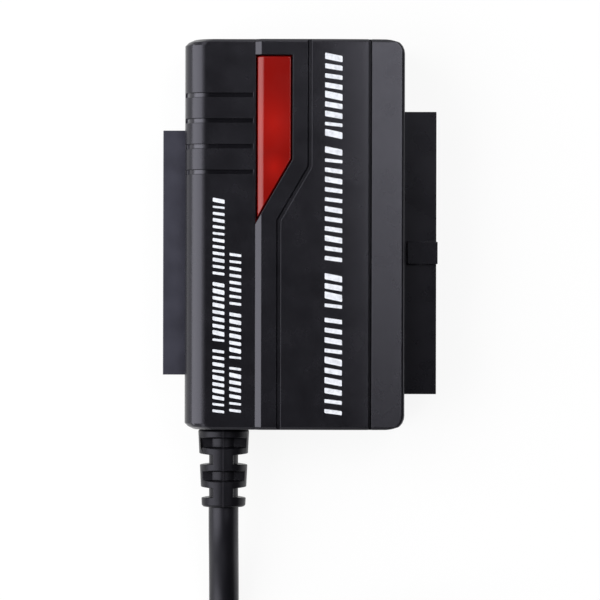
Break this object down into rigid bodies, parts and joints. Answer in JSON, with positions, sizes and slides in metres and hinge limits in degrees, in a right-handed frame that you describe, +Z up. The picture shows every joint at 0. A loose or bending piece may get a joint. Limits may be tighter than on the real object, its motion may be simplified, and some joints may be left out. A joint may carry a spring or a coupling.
{
  "type": "usb to ide and sata drive adapter",
  "caption": "Small black adapter housing with drive sockets in both long sides, a serial drive port in its far end, a red window and a captive cord with a plug.",
  "frame": {"origin": "centre of the bounding box of the adapter without its cord, at the underside of the housing", "axes": "+Y along the housing, away from the cord; +X towards the 40-way socket; +Z up, through the face with the window"},
  "size_m": [0.0885, 0.1819, 0.016],
  "materials": {
    "housing_plastic": "fine satin moulded black",
    "window_plastic": "translucent red, smooth",
    "socket_plastic": "moulded black",
    "port_plastic": "moulded black",
    "board_laminate": "green solder mask",
    "chip_epoxy": "moulded epoxy",
    "bright_metal": "nickel plated",
    "capacitor_body": "fired ceramic",
    "lamp_resin": "clear lamp resin",
    "cord_jacket": "flexible black, satin",
    "wire_insulation": "thin coloured insulation",
    "tie_fabric": "black hook and loop",
    "plug_insulator": "blue moulded insulator"
  },
  "bodies": {
    "root": {"top_shell": "housing_plastic", "bottom_shell": "housing_plastic", "indicator_window": "window_plastic", "ide40_socket": "socket_plastic", "ide44_socket": "socket_plastic", "sata_port": "port_plastic", "circuit_board": "board_laminate", "bridge_chip": "chip_epoxy", "flash_chip": "chip_epoxy", "voltage_regulator": "chip_epoxy", "power_inductor": "chip_epoxy", "crystal": "bright_metal", "ceramic_capacitor_1": "capacitor_body", "ceramic_capacitor_2": "capacitor_body", "ceramic_capacitor_3": "capacitor_body", "bulk_capacitor_1": "bright_metal", "bulk_capacitor_2": "bright_metal", "indicator_lamp_1": "lamp_resin", "indicator_lamp_2": "lamp_resin", "case_screw_1": "bright_metal", "case_screw_2": "bright_metal", "case_screw_3": "bright_metal", "case_screw_4": "bright_metal", "strain_relief": "cord_jacket", "cord_lead": "cord_jacket", "cord_coil": "cord_jacket", "cord_tail": "cord_jacket", "coil_tie": "tie_fabric", "plug_body": "cord_jacket", "plug_shell": "bright_metal", "plug_insulator": "plug_insulator", "inner_wire_1": "wire_insulation", "inner_wire_2": "wire_insulation", "inner_wire_3": "wire_insulation", "inner_wire_4": "wire_insulation", "inner_wire_5": "wire_insulation", "inner_wire_6": "wire_insulation", "inner_wire_7": "wire_insulation", "inner_wire_8": "wire_insulation", "inner_wire_9": "wire_insulation"}
  },
  "joints": []
}
